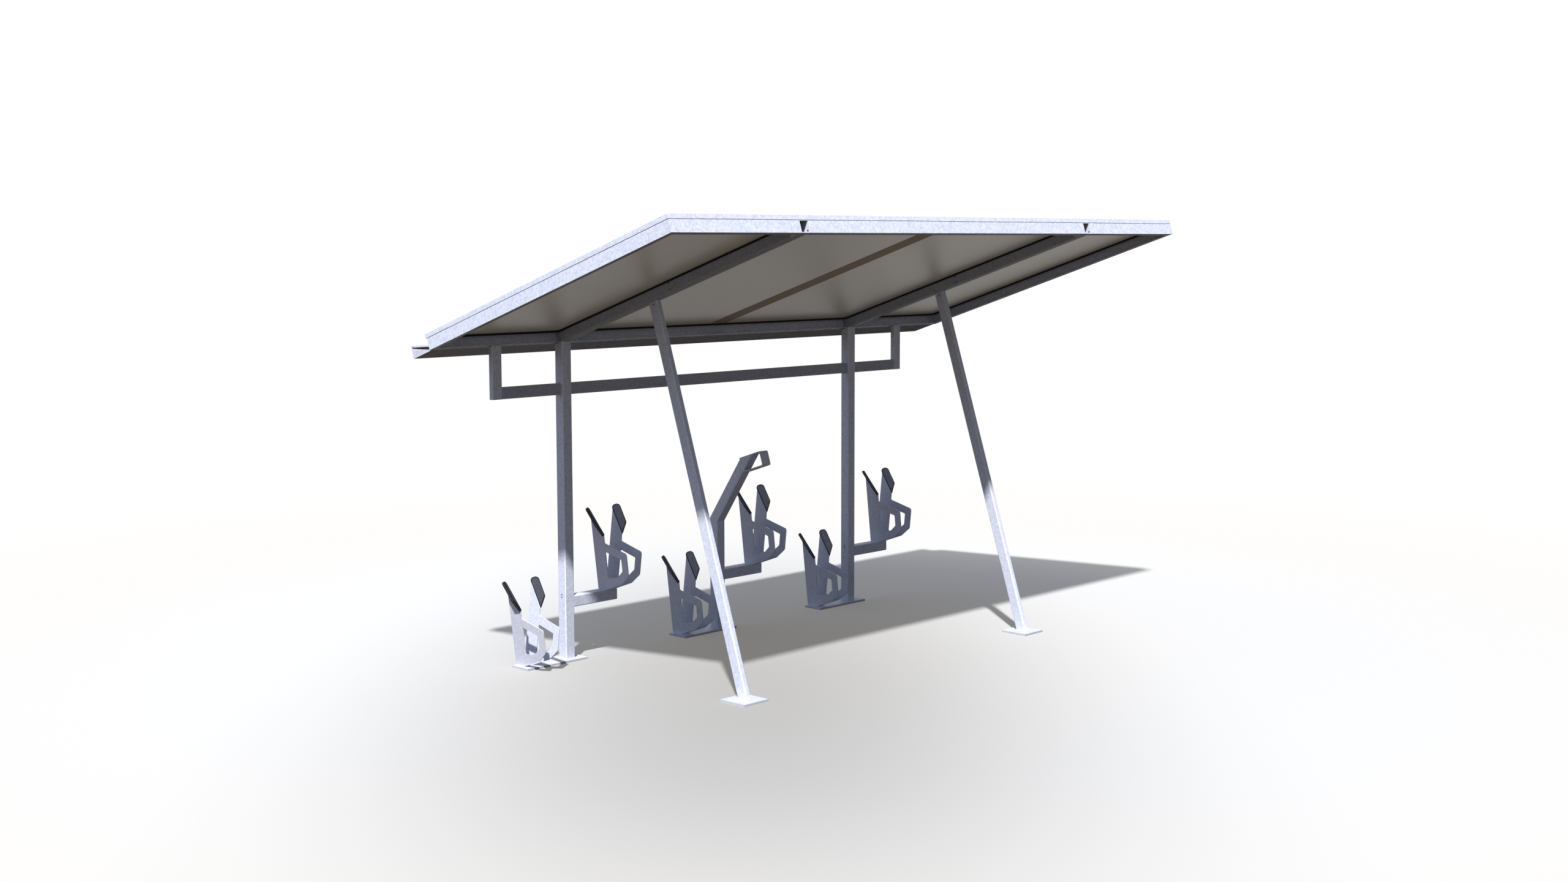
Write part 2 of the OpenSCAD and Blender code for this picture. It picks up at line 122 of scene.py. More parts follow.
UNIT_X = {side: node_middle(side + "_post_foot")[0] for side in SIDES}
POST_Y = node_middle("left_post_foot")[1]
HALF_POST = node_half("left_post_foot")[0]
PLATE_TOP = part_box("left_base_plate")[1].z
FOOT_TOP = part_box("left_front_foot")[1].z
JOINT_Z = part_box("left_post_foot")[1].z
ARM_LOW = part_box("left_rack_arm")[0].z
HALF_POST_ON_SLOPE = HALF_POST / math.cos(ROOF_PITCH)
SLOPE = np.array([0.0, math.cos(ROOF_PITCH), -math.sin(ROOF_PITCH)])
ROOF_UP = np.array([0.0, math.sin(ROOF_PITCH), math.cos(ROOF_PITCH)])
ACROSS = np.array([1.0, 0.0, 0.0])
ALONG_Y = np.array([0.0, 1.0, 0.0])
UPWARDS = np.array([0.0, 0.0, 1.0])


def on_roof(x, s, n):
    """Point on the roof's own axes: x across, s down the slope from the eave, n square to the roof."""
    return np.array([x, POST_Y, EAVE_Z]) + s * SLOPE + n * ROOF_UP


def rack_spots(unit):
    """Middle of the seat's rear edge, for the low and the high rack of one unit."""
    return [(node_middle(unit + "_low_rack")[0], POST_Y + LOW_RACK_SET_BACK, PLATE_TOP),
            (node_middle(unit + "_high_rack")[0], POST_Y + HALF_POST, JOINT_Z)]


# Front end of the rafters that gets painted sunlight
RAFTER_SUNLIT_LENGTH = 0.10
RAFTER_SUNLIT_Y = float(on_roof(0.0, SLOPE_FRONT, 0.0)[1]) + RAFTER_SUNLIT_LENGTH
ROOF_DATUM = float(np.dot(on_roof(0.0, 0.0, 0.0), ROOF_UP))

# Meshes


def grid_quads(rows, cols, wrap_rows):
    """Corner numbers of the four-sided faces between neighbours on rows of closed rings. With wrap_rows the
    last ring is joined to the first."""
    i, j = np.meshgrid(np.arange(rows if wrap_rows else rows - 1), np.arange(cols), indexing="ij")
    i_next, j_next = (i + 1) % rows, (j + 1) % cols
    corners = (i * cols + j, i_next * cols + j, i_next * cols + j_next, i * cols + j_next)
    return np.stack(corners, axis=-1).reshape(-1, 4)


def pole_fan(pole, ring):
    """Triangles from one pole to each pair of neighbours on a closed ring of points."""
    return np.stack((np.full(len(ring), pole), ring, np.roll(ring, -1)), axis=-1)


def turned_outwards(points, quads, triangles):
    """Turns all faces round when the volume they enclose, a sum of signed tetrahedra, comes out negative."""
    split = [triangles, quads[:, :3], quads[:, [0, 2, 3]]]
    a, b, c = (points[np.concatenate(split)[:, k]] for k in range(3))
    if np.einsum("ij,ij->i", a, np.cross(b, c)).sum() < 0.0:
        quads, triangles = quads[:, ::-1], triangles[:, ::-1]
    return points, quads, triangles


def looped_shell(grid):
    """Closed shell from a grid of points that wraps both ways."""
    quads = grid_quads(*grid.shape[:2], True)
    return turned_outwards(grid.reshape(-1, 3), quads, np.zeros((0, 3), dtype=int))


def poled_shell(grid, first_pole, last_pole):
    """Closed shell from rows of closed rings, with a pole that closes the first ring and one that closes the
    last."""
    rows, sides = grid.shape[:2]
    points = np.vstack((grid.reshape(-1, 3), first_pole, last_pole))
    first = np.arange(sides)
    last = first[::-1] + (rows - 1) * sides
    fans = np.vstack((pole_fan(rows * sides, first), pole_fan(rows * sides + 1, last)))
    return turned_outwards(points, grid_quads(rows, sides, False), fans)


def piece(name, shells, material, rim=None):
    """Joins closed shells into one mesh object that rides with the frame. Where rim gives a value for each
    point, the mesh carries it as an attribute of that name."""
    starts = np.cumsum([0] + [len(points) for points, _, _ in shells])
    points = np.concatenate([points for points, _, _ in shells])
    quads = np.concatenate([q + start for (_, q, _), start in zip(shells, starts)])
    triangles = np.concatenate([t + start for (_, _, t), start in zip(shells, starts)])
    corners = np.concatenate([quads.ravel(), triangles.ravel()]).astype(np.int32)
    counts = np.concatenate([np.full(len(quads), 4), np.full(len(triangles), 3)]).astype(np.int32)
    mesh = bpy.data.meshes.new(name)
    mesh.vertices.add(len(points))
    mesh.vertices.foreach_set("co", points.astype(np.float32).ravel())
    mesh.loops.add(len(corners))
    mesh.loops.foreach_set("vertex_index", corners)
    mesh.polygons.add(len(counts))
    mesh.polygons.foreach_set("loop_start", np.cumsum(counts).astype(np.int32) - counts)
    mesh.polygons.foreach_set("loop_total", counts)
    mesh.polygons.foreach_set("use_smooth", np.ones(len(counts), dtype=bool))
    mesh.materials.append(material)
    if rim is not None:
        values = mesh.attributes.new("rim", "FLOAT", "POINT").data
        values.foreach_set("value", rim.astype(np.float32))
    mesh.update(calc_edges=True)
    mesh.validate()
    made = bpy.data.objects.new(name, mesh)
    bpy.context.scene.collection.objects.link(made)
    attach(made, "root")
    return made


def rounded_ring(half_a, half_b, corner, step):
    """Rounded rectangle walked at equal steps: four straight sides joined by quarter circles. Returns the
    points (a, b), their outward directions and the length walked at each."""
    turn = np.linspace(0.0, math.pi / 2.0, 9)
    signs = np.array([(1, 1), (-1, 1), (-1, -1), (1, -1)])
    start = np.arange(4)[:, None] * math.pi / 2.0
    angle = (start + turn[None, :]).ravel()
    middle = np.repeat(signs * (half_a - corner, half_b - corner), len(turn), axis=0)
    outward = np.stack((np.cos(angle), np.sin(angle)), axis=-1)
    walk = middle + corner * outward
    walk, outward = np.vstack((walk, walk[:1])), np.vstack((outward, outward[:1]))
    length = np.concatenate(([0.0], np.cumsum(np.linalg.norm(np.diff(walk, axis=0), axis=1))))
    at = np.linspace(0.0, length[-1], int(round(length[-1] / step)), endpoint=False)
    points = np.stack([np.interp(at, length, walk[:, k]) for k in range(2)], axis=-1)
    directions = np.stack([np.interp(at, length, outward[:, k]) for k in range(2)], axis=-1)
    return points, directions / np.linalg.norm(directions, axis=1, keepdims=True), at


def carried_round(origin, axis_a, axis_b, ring, outward, aside, along):
    """Section carried round a tube's outline and closed both ways: point = outline + aside outwards + along
    the tube, where aside and along have a row for each point of the outline."""
    path = origin + ring[:, :1] * axis_a + ring[:, 1:] * axis_b
    out = outward[:, :1] * axis_a + outward[:, 1:] * axis_b
    along_tube = np.cross(axis_a, axis_b)
    return looped_shell(path[:, None, :] + aside[..., None] * out[:, None, :] + along[..., None] * along_tube)


def rounded_corners(corners, radii, steps):
    """Convex outline with rounded corners: at each corner an arc that turns from one side's outward direction
    to the next one's, about corner - r (n1 + n2) / (1 + n1 . n2). Returns the points and their outward
    directions."""
    ahead = np.roll(corners, -1, axis=0) - corners
    ahead = ahead / np.linalg.norm(ahead, axis=1, keepdims=True)
    after = np.stack((ahead[:, 1], -ahead[:, 0]), axis=-1)
    before = np.roll(after, 1, axis=0)
    start = np.arctan2(before[:, 1], before[:, 0])
    turn = np.mod(np.arctan2(after[:, 1], after[:, 0]) - start, 2.0 * math.pi)
    closeness = 1.0 + np.einsum("ij,ij->i", before, after)
    middle = corners - (radii / closeness)[:, None] * (before + after)
    angle = start[:, None] + turn[:, None] * np.linspace(0.0, 1.0, steps)
    outward = np.stack((np.cos(angle), np.sin(angle)), axis=-1)
    points = middle[:, None, :] + radii[:, None, None] * outward
    return points.reshape(-1, 2), outward.reshape(-1, 2)


def cap_outline():
    """Outline of a cap on its flange's own axes, X down the fold and Y across, before its edges are rounded
    over."""
    length = math.hypot(CHEEK_HEIGHT - BLADE_FRONT, BLADE_WIDTH)
    past = CAP_PAST_EDGE - CAP_ROUND
    root, top = CAP_ROOT + CAP_ROUND, GUIDE_WIDTH + past
    rear = -GUIDE_WIDTH / 2.0 - past
    toe = length - GUIDE_CUT * root / GUIDE_WIDTH + CAP_PAST_TOE
    corners = np.array([(toe, root), (length - GUIDE_CUT + past, top), (rear, top), (rear, root)])
    radii = np.array([CAP_TOE_RADIUS, 0.25 * GUIDE_WIDTH, 0.42 * GUIDE_WIDTH, 0.34 * GUIDE_WIDTH])
    return rounded_corners(corners, radii, CAP_CORNER_POINTS)


def cap_section():
    """Section of a cap from the middle of its edge to near the middle of one face: a flat wall, a quarter
    circle and a face crowned as 1 - share^2. Each row has its share of the outline, its step outwards, its
    height over the flange's middle and its rim, which is 1 on the rounded edge."""
    half = RACK_SHEET / 2.0 + CAP_WALL
    wall = (1.0, CAP_ROUND, 0.0, 0.4)
    turn = np.linspace(0.0, math.pi / 2.0, CAP_EDGE_POINTS)
    rim = np.interp(turn, (0.0, 0.5, 1.2, math.pi / 2.0), (0.8, 1.0, 1.0, 0.6))
    height = half - CAP_ROUND * (1.0 - np.sin(turn))
    edge = np.stack((np.ones_like(turn), CAP_ROUND * np.cos(turn), height, rim), axis=-1)
    share = np.array([0.95, 0.86, 0.6, 0.3])
    crown = half + CAP_CROWN * (1.0 - share ** 2)
    face = np.stack((share, np.zeros_like(share), crown, (0.25, 0.0, 0.0, 0.0)), axis=-1)
    return np.vstack(([wall], edge, face))


def guide_cap(place):
    """Moulded cap: its outline carried round its section on both sides of the flange, closed by a pole on
    each face, and set in place. Returns the shell and the rim value of each point."""
    outline, outward = cap_outline()
    half = cap_section()
    rows = np.vstack((half[:0:-1] * (1.0, 1.0, -1.0, 1.0), half))
    share, step, height = (rows[:, k, None, None] for k in range(3))
    centre = outline.mean(axis=0)
    flat = centre + share * (outline - centre) + step * outward
    grid = np.concatenate((flat, np.broadcast_to(height, flat.shape[:2] + (1,))), axis=-1)
    top = np.array([*centre, RACK_SHEET / 2.0 + CAP_WALL + CAP_CROWN])
    bottom = top * (1.0, 1.0, -1.0)
    turn, shift = place[:3, :3].T, place[:3, 3]
    shell = poled_shell(grid @ turn + shift, bottom @ turn + shift, top @ turn + shift)
    return shell, np.concatenate((np.repeat(rows[:, 3], len(outline)), (0.0, 0.0)))


def guide_place(spot, side):
    """Matrix from a guide flange's own axes, on its middle plane, to the shelter: bent off its fold, laid on
    the leaning cheek, and put at its rack, mirrored where side is 1."""
    fold = math.atan2(CHEEK_HEIGHT - BLADE_FRONT, BLADE_WIDTH)
    flange = (Matrix.Translation((0.0, CHEEK_HEIGHT, 0.0)) @ Matrix.Rotation(-fold, 4, "Z")
              @ Matrix.Rotation(GUIDE_BEND, 4, "X") @ Matrix.Translation((0.0, 0.0, RACK_SHEET / 2.0)))
    cheek = (Matrix.Translation((-SLOT_WIDTH / 2.0, 0.0, RACK_SHEET * math.sin(CHEEK_LEAN)))
             @ Matrix.Rotation(-CHEEK_LEAN, 4, "Y") @ Matrix.Rotation(-math.pi / 2.0, 4, "Z")
             @ Matrix.Rotation(math.pi / 2.0, 4, "X"))
    mirror = Matrix.Diagonal((-side, 1.0, 1.0, 1.0))
    return np.array(Matrix.Translation(spot) @ mirror @ cheek @ flange)


def bead_radius(along, size, seed):
    """Weld bead's radius: its size, with a saw-backed ripple at each pass of the rod and a slow drift."""
    ripple = 0.12 * np.abs(np.sin(math.pi * along / BEAD_RIPPLE))
    drift = 0.10 * np.sin(2.0 * math.pi * along / BEAD_DRIFT + seed)
    tremble = 0.06 * np.sin(along / BEAD_TREMBLE + 2.0 * seed)
    return size * (0.90 + ripple + drift + tremble)


def ring_weld(origin, axis_a, axis_b, half_a, half_b, size, seed):
    """Fillet weld round a tube: a rippled circle carried along the tube's rounded outline, r cos(v) outwards
    and r sin(v) along the tube."""
    ring, outward, walked = rounded_ring(half_a, half_b, TUBE_CORNER, BEAD_STEP)
    radius = bead_radius(walked, size, seed)[:, None]
    v = np.linspace(0.0, 2.0 * math.pi, BEAD_SIDES, endpoint=False)
    return carried_round(origin, axis_a, axis_b, ring, outward, radius * np.cos(v), radius * np.sin(v))


def stitch_weld(middle, run, out, up, size, seed):
    """Short straight bead: a rippled circle carried from middle - run to middle + run, its radius closing to
    a pole at both."""
    length = 2.0 * np.linalg.norm(run)
    along = np.linspace(0.0, length, max(int(length / BEAD_STEP), 12))
    share = 2.0 * along / length - 1.0
    close = np.sqrt(np.clip(1.0 - np.abs(share) ** 6, 0.0, 1.0))
    radius = (bead_radius(along, size, seed) * close)[1:-1, None, None]
    v = np.linspace(0.0, 2.0 * math.pi, BEAD_SIDES, endpoint=False)[None, :, None]
    path = middle + share[:, None] * run
    grid = path[1:-1, None, :] + radius * (np.cos(v) * out + np.sin(v) * up)
    return poled_shell(grid, path[0], path[-1])


def band_ring(origin, axis_a, axis_b, half_a, half_b, corner, thick, tall, step):
    """Flat band round a tube: a superellipse section, |x/thick|^4 + |y/tall|^4 = 1, carried round its
    outline."""
    ring, outward, _ = rounded_ring(half_a, half_b, corner, step)
    v = np.linspace(0.0, 2.0 * math.pi, BAND_SIDES, endpoint=False)
    aside = np.sign(np.cos(v)) * np.sqrt(np.abs(np.cos(v))) * thick
    along = np.sign(np.sin(v)) * np.sqrt(np.abs(np.sin(v))) * tall
    shape = (len(ring), BAND_SIDES)
    return carried_round(origin, axis_a, axis_b, ring, outward, np.broadcast_to(aside, shape),
                         np.broadcast_to(along, shape))


def grub_screw(face, outwards, turn, recess=SCREW_RECESS, length=SCREW_LENGTH):
    """Socket set screw: a profile of radius and depth turned about its axis, where the socket's radius is
    that of a hexagon, flat / cos(angle left over from the nearest flat)."""
    angle = np.linspace(0.0, 2.0 * math.pi, SCREW_SIDES, endpoint=False)
    left_over = np.mod(angle + turn, math.pi / 3.0) - math.pi / 6.0
    hexagon = SOCKET_FLAT / np.cos(left_over)
    circle = np.full(SCREW_SIDES, SCREW_RADIUS)
    radius = np.stack((0.80 * circle, circle, circle, 0.86 * circle, 1.10 * hexagon, hexagon, hexagon))
    depth = recess + np.array([length, length - SCREW_BEVEL, SCREW_BEVEL, 0.0, 0.0, SOCKET_BEVEL,
                               SOCKET_SHARE * length])
    side_a = np.cross(outwards, UPWARDS)
    side_a = side_a / np.linalg.norm(side_a)
    side_b = np.cross(outwards, side_a)
    grid = (face + (radius * np.cos(angle))[..., None] * side_a + (radius * np.sin(angle))[..., None] * side_b
            - depth[:, None, None] * outwards)
    back = face - (depth[0] + SCREW_DISH) * outwards
    bottom = face - (depth[-1] + SOCKET_DISH) * outwards
    return poled_shell(grid, back, bottom)


# Shader helpers


def put(tree, kind, sockets=(), **settings):
    """Adds a shader node, sets its options, and fills its inputs with values or with links."""
    made = tree.nodes.new(kind if kind.startswith("NodeGroup") else "ShaderNode" + kind)
    for key, value in settings.items():
        setattr(made, key, value)
    for key, value in dict(sockets).items():
        if isinstance(value, bpy.types.NodeSocket):
            tree.links.new(value, made.inputs[key])
        else:
            made.inputs[key].default_value = value
    return made


def empty_tree(owner):
    """Node tree of a material or world, with nothing in it."""
    owner.use_nodes = True
    owner.node_tree.nodes.clear()
    return owner.node_tree


def group_tree(name, inputs, outputs):
    """Empty shader group with named sockets; returns its tree, its inputs as sockets and its output node."""
    tree = bpy.data.node_groups.new(name, "ShaderNodeTree")
    for label, kind in inputs:
        tree.interface.new_socket(name=label, in_out="INPUT", socket_type="NodeSocket" + kind)
    for label, kind in outputs:
        tree.interface.new_socket(name=label, in_out="OUTPUT", socket_type="NodeSocket" + kind)
    return tree, put(tree, "NodeGroupInput").outputs, put(tree, "NodeGroupOutput")


def opaque(colour):
    """Colour with full alpha."""
    return (*colour, 1.0)


def lighter(colour, times):
    """Colour brightened, short of white."""
    return opaque(min(times * c, 0.92) for c in colour)


def math_of(tree, operation, a, b=0.0, clamp=False):
    """Result of one Math node."""
    return put(tree, "Math", {0: a, 1: b}, operation=operation, use_clamp=clamp).outputs[0]


def blend_of(tree, factor, a, b):
    """Colour between a and b by a factor."""
    return put(tree, "Mix", {0: factor, 6: a, 7: b}, data_type="RGBA").outputs[2]


def noise_of(tree, place, scale, detail, roughness=0.5):
    """Fractal noise with so many lumps to the metre."""
    return put(tree, "TexNoise", {"Vector": place, "Scale": scale, "Detail": detail,
                                  "Roughness": roughness}).outputs["Fac"]


def range_of(tree, value, low, high, at_low, at_high, curve="LINEAR"):
    """Value carried from one range to another and kept within it."""
    return put(tree, "MapRange", {0: value, 1: low, 2: high, 3: at_low, 4: at_high}, clamp=True,
               interpolation_type=curve).outputs[0]


def step_of(tree, value, low, high):
    """0 at low, 1 at high, straight between them."""
    return range_of(tree, value, low, high, 0.0, 1.0)


def stretched(tree, place, times):
    """Place with each axis multiplied."""
    return put(tree, "VectorMath", {0: place, 1: times}, operation="MULTIPLY").outputs[0]


def scaled(tree, vector, by):
    """Vector multiplied by one number."""
    return put(tree, "VectorMath", {0: vector, "Scale": by}, operation="SCALE").outputs[0]


def length_of(tree, vector):
    """Length of a vector."""
    return put(tree, "VectorMath", {0: vector}, operation="LENGTH").outputs["Value"]


def dot_of(tree, a, b):
    """Dot product of two vectors."""
    return put(tree, "VectorMath", {0: a, 1: b}, operation="DOT_PRODUCT").outputs["Value"]


def parts_of(tree, vector):
    """The three parts of a vector."""
    return put(tree, "SeparateXYZ", {0: vector}).outputs


def normal_of(tree):
    """The surface's own normal."""
    return put(tree, "NewGeometry").outputs["Normal"]


def faces_up(tree):
    """1 where the surface looks up, 0 on walls and undersides."""
    return step_of(tree, dot_of(tree, normal_of(tree), UPWARDS), 0.5, 0.8)


def mask_of(tree, effect, sockets):
    """Mask put out by one of the shared effects."""
    return put(tree, "Group", sockets, node_tree=effect).outputs["Mask"]


# Shared effects


def make_spangle():
    """Zinc spangle: warped cells, each with its own tone, laid over softer clouds of brighter and duller
    zinc."""
    tree, given, leave = group_tree(
        "zinc_spangle",
        [("Position", "Vector"), ("Flakes per metre", "Float"), ("Clouds per metre", "Float"),
         ("Contrast", "Float"), ("Bright zinc", "Color"), ("Dull zinc", "Color")],
        [("Colour", "Color"), ("Roughness", "Float"), ("Height", "Float")])
    place, flakes = given["Position"], given["Flakes per metre"]
    wobble = put(tree, "TexNoise", {"Vector": place, "Scale": flakes, "Detail": 2.0}).outputs["Color"]
    centred = put(tree, "VectorMath", {0: wobble, 1: (0.5, 0.5, 0.5)}, operation="SUBTRACT").outputs[0]
    push = scaled(tree, centred, math_of(tree, "DIVIDE", 0.9, flakes))
    warped = put(tree, "VectorMath", {0: place, 1: push}, operation="ADD").outputs[0]
    cells = put(tree, "TexVoronoi", {"Vector": warped, "Scale": flakes, "Randomness": 1.0}, feature="F1")
    tone = put(tree, "SeparateColor", {0: cells.outputs["Color"]}).outputs[0]
    clouds = noise_of(tree, place, given["Clouds per metre"], 5.0, 0.62)
    grain = noise_of(tree, place, 620.0, 3.0)
    cell_part = math_of(tree, "MULTIPLY", tone, 0.42)
    cloud_part = math_of(tree, "MULTIPLY", clouds, 0.95)
    grain_part = math_of(tree, "MULTIPLY", grain, 0.22)
    mixed = math_of(tree, "ADD", math_of(tree, "ADD", cell_part, cloud_part), grain_part)
    spread = math_of(tree, "MULTIPLY", math_of(tree, "SUBTRACT", mixed, 0.795), given["Contrast"])
    fleck = math_of(tree, "ADD", spread, 0.56, clamp=True)
    rough = math_of(tree, "SUBTRACT", 0.62, math_of(tree, "MULTIPLY", fleck, 0.20))
    raised = math_of(tree, "ADD", math_of(tree, "MULTIPLY", cells.outputs["Distance"], 0.5),
                     math_of(tree, "MULTIPLY", grain, 0.5))
    colour = blend_of(tree, fleck, given["Dull zinc"], given["Bright zinc"])
    tree.links.new(colour, leave.inputs["Colour"])
    tree.links.new(rough, leave.inputs["Roughness"])
    tree.links.new(raised, leave.inputs["Height"])
    return tree


def make_scuffs():
    """Handling marks: noise drawn out along the piece, of which only the sharpest crests are kept."""
    tree, given, leave = group_tree(
        "handling_scuffs", [("Position", "Vector"), ("Draw out", "Vector"), ("Amount", "Float")],
        [("Mask", "Float")])
    lines = noise_of(tree, stretched(tree, given["Position"], given["Draw out"]), 1.0, 4.0, 0.7)
    crest = step_of(tree, lines, 0.60, 0.74)
    zone = step_of(tree, noise_of(tree, given["Position"], 9.0, 2.0), 0.42, 0.66)
    kept = math_of(tree, "MULTIPLY", math_of(tree, "MULTIPLY", crest, zone), given["Amount"])
    tree.links.new(kept, leave.inputs["Mask"])
    return tree


def make_corner_sheen():
    """Painted highlight along rounded corners, in place of the reflection they catch: 4 d^2 (1 - d^2), d
    being the normal's part along one face's direction, which is 1 halfway round a tube's rounded corner and 0
    on its flat faces."""
    tree, given, leave = group_tree(
        "corner_sheen",
        [("Normal", "Vector"), ("Face", "Vector"), ("Position", "Vector"), ("Amount", "Float")],
        [("Mask", "Float")])
    part = dot_of(tree, given["Normal"], given["Face"])
    square = math_of(tree, "MULTIPLY", part, part)
    other = math_of(tree, "SUBTRACT", 1.0, square)
    corner = math_of(tree, "MULTIPLY", math_of(tree, "MULTIPLY", square, other), 4.0, clamp=True)
    kept = range_of(tree, noise_of(tree, given["Position"], 24.0, 3.0), 0.30, 0.62, 0.45, 1.0)
    sheen = math_of(tree, "MULTIPLY", math_of(tree, "MULTIPLY", corner, kept), given["Amount"])
    tree.links.new(sheen, leave.inputs["Mask"])
    return tree


def make_underside():
    """Undersides: 1 where the surface looks down, 0 on walls and tops."""
    tree, given, leave = group_tree(
        "underside", [("Normal", "Vector"), ("Amount", "Float")], [("Mask", "Float")])
    facing_down = step_of(tree, parts_of(tree, given["Normal"])[2], -0.55, -0.90)
    tree.links.new(math_of(tree, "MULTIPLY", facing_down, given["Amount"]), leave.inputs["Mask"])
    return tree


def make_edge_rim():
    """Rims along sharp edges: 1 where a normal rounded over the given radius turns away from the face's own,
    0 on the open face."""
    tree, given, leave = group_tree(
        "edge_rim", [("Radius", "Float"), ("Normal", "Vector"), ("Amount", "Float")], [("Mask", "Float")])
    rounded = put(tree, "Bevel", {"Radius": given["Radius"]}, samples=6).outputs[0]
    turned = step_of(tree, dot_of(tree, rounded, given["Normal"]), 0.975, 0.86)
    tree.links.new(math_of(tree, "MULTIPLY", turned, given["Amount"]), leave.inputs["Mask"])
    return tree


SPANGLE = make_spangle()
SCUFFS = make_scuffs()
CORNER_SHEEN = make_corner_sheen()
UNDERSIDE = make_underside()
EDGE_RIM = make_edge_rim()

# Layers on zinc, of weathering, painted shade and painted highlights: each takes the tree, the place, the
# colour so far and the bright zinc

# Painted sunlight for the rafters' front end
SUNLIT_END_ZINC = (0.66, 0.685, 0.78)
WEATHERED_ZINC = (0.31, 0.32, 0.345)
# Painted shade for undersides
UNDERSIDE_SHADE = (0.16, 0.155, 0.15)
# Painted shade for the inside of the rafters and of the gutter
SHADE_BLACK = (0.08, 0.08, 0.085)
# Painted shade for the caps' walls
RIM_SHADE_BLACK = (0.004, 0.004, 0.005)
# Where the caps turn greyer: partly dust, partly a painted sheen
DUST_AND_SHEEN_FROM_X, DUST_AND_SHEEN_TO_X = -1.65, -1.10
# Corner and edge gains lighten painted highlights; the scuff gain lightens real handling marks.
CORNER_HIGHLIGHT_GAIN, EDGE_HIGHLIGHT_GAIN, SCUFF_SHINE = 1.34, 1.18, 1.18


def painted_corner_sheen(face):
    """Layer that paints a highlight along a tube's rounded corners, in place of the reflection they catch."""
    def layer(tree, place, colour, bright):
        sheen = mask_of(tree, CORNER_SHEEN, {"Normal": normal_of(tree), "Face": face, "Position": place,
                                           "Amount": 0.75})
        return blend_of(tree, sheen, colour, lighter(bright, CORNER_HIGHLIGHT_GAIN))
    return layer


def painted_edge_highlight(width):
    """Layer that paints a highlight along sharp edges, where a rounded edge would catch the light."""
    def layer(tree, place, colour, bright):
        rim = mask_of(tree, EDGE_RIM, {"Radius": width, "Normal": normal_of(tree), "Amount": 0.55})
        return blend_of(tree, rim, colour, lighter(bright, EDGE_HIGHLIGHT_GAIN))
    return layer


def painted_underside_shade(amount):
    """Layer that paints shade, dark and brown, on undersides."""
    def layer(tree, place, colour, bright):
        below = mask_of(tree, UNDERSIDE, {"Normal": normal_of(tree), "Amount": amount})
        return blend_of(tree, below, colour, opaque(UNDERSIDE_SHADE))
    return layer


def dull_tops(tree, place, colour, bright):
    """Layer that dulls the faces which lie open to rain."""
    spread = range_of(tree, noise_of(tree, place, 14.0, 5.0), 0.35, 0.65, 0.70, 1.0)
    return blend_of(tree, math_of(tree, "MULTIPLY", faces_up(tree), spread), colour, opaque(WEATHERED_ZINC))


def painted_bore_shade(tree, place, colour, bright):
    """Layer that paints shade inside both rafters, where (p - middle line) . normal is negative."""
    looks = normal_of(tree)
    across = parts_of(tree, place)[0]
    rafter_x = math_of(tree, "MULTIPLY", math_of(tree, "SIGN", across), UNIT_X["right"])
    aside = math_of(tree, "SUBTRACT", across, rafter_x)
    raised = math_of(tree, "SUBTRACT", dot_of(tree, place, ROOF_UP), ROOF_DATUM + FRAME_DEPTH / 2.0)
    from_middle = math_of(tree, "ADD", math_of(tree, "MULTIPLY", aside, dot_of(tree, looks, ACROSS)),
                          math_of(tree, "MULTIPLY", raised, dot_of(tree, looks, ROOF_UP)))
    return blend_of(tree, step_of(tree, from_middle, -0.005, -0.02), colour, opaque(SHADE_BLACK))


def painted_sunlit_end(tree, place, colour, bright):
    """Layer that paints sunlight on the front end: brighter zinc on the cut end and on walls that look left,
    where the sun reaches inside.
    """
    looks = normal_of(tree)
    ahead = step_of(tree, parts_of(tree, place)[1], RAFTER_SUNLIT_Y, RAFTER_SUNLIT_Y - 0.02)
    left_or_front = math_of(tree, "MAXIMUM", dot_of(tree, looks, -ACROSS), dot_of(tree, looks, -SLOPE))
    sunlit = math_of(tree, "MULTIPLY", ahead, step_of(tree, left_or_front, 0.2, 0.5))
    return blend_of(tree, sunlit, colour, opaque(SUNLIT_END_ZINC))


def painted_gutter_shade(tree, place, colour, bright):
    """Layer that paints shade on the gutter's floor and the inside of its rear wall, up to the lip."""
    lip = ROOF_DATUM + GUTTER_LIP
    inner = step_of(tree, dot_of(tree, normal_of(tree), ROOF_UP - SLOPE), 0.5, 0.8)
    low = step_of(tree, dot_of(tree, place, ROOF_UP), lip, lip - 0.003)
    return blend_of(tree, math_of(tree, "MULTIPLY", inner, low), colour, opaque(SHADE_BLACK))


# Finishes


def new_material(name):
    """Material with its tree, its Principled shader and its Object coordinates."""
    made = bpy.data.materials.new(name)
    tree = empty_tree(made)
    shader = put(tree, "BsdfPrincipled")
    tree.links.new(shader.outputs[0], put(tree, "OutputMaterial").inputs["Surface"])
    return made, tree, shader, put(tree, "TexCoord").outputs["Object"]


def dress(tree, shader, colour, rough, height, strength, distance, gloss):
    """Gives the shader its colour, roughness and relief, and its plain gloss."""
    bump = put(tree, "Bump", {"Strength": strength, "Distance": distance, "Height": height})
    tree.links.new(colour, shader.inputs["Base Color"])
    tree.links.new(rough, shader.inputs["Roughness"])
    tree.links.new(bump.outputs[0], shader.inputs["Normal"])
    shader.inputs["Specular IOR Level"].default_value = gloss


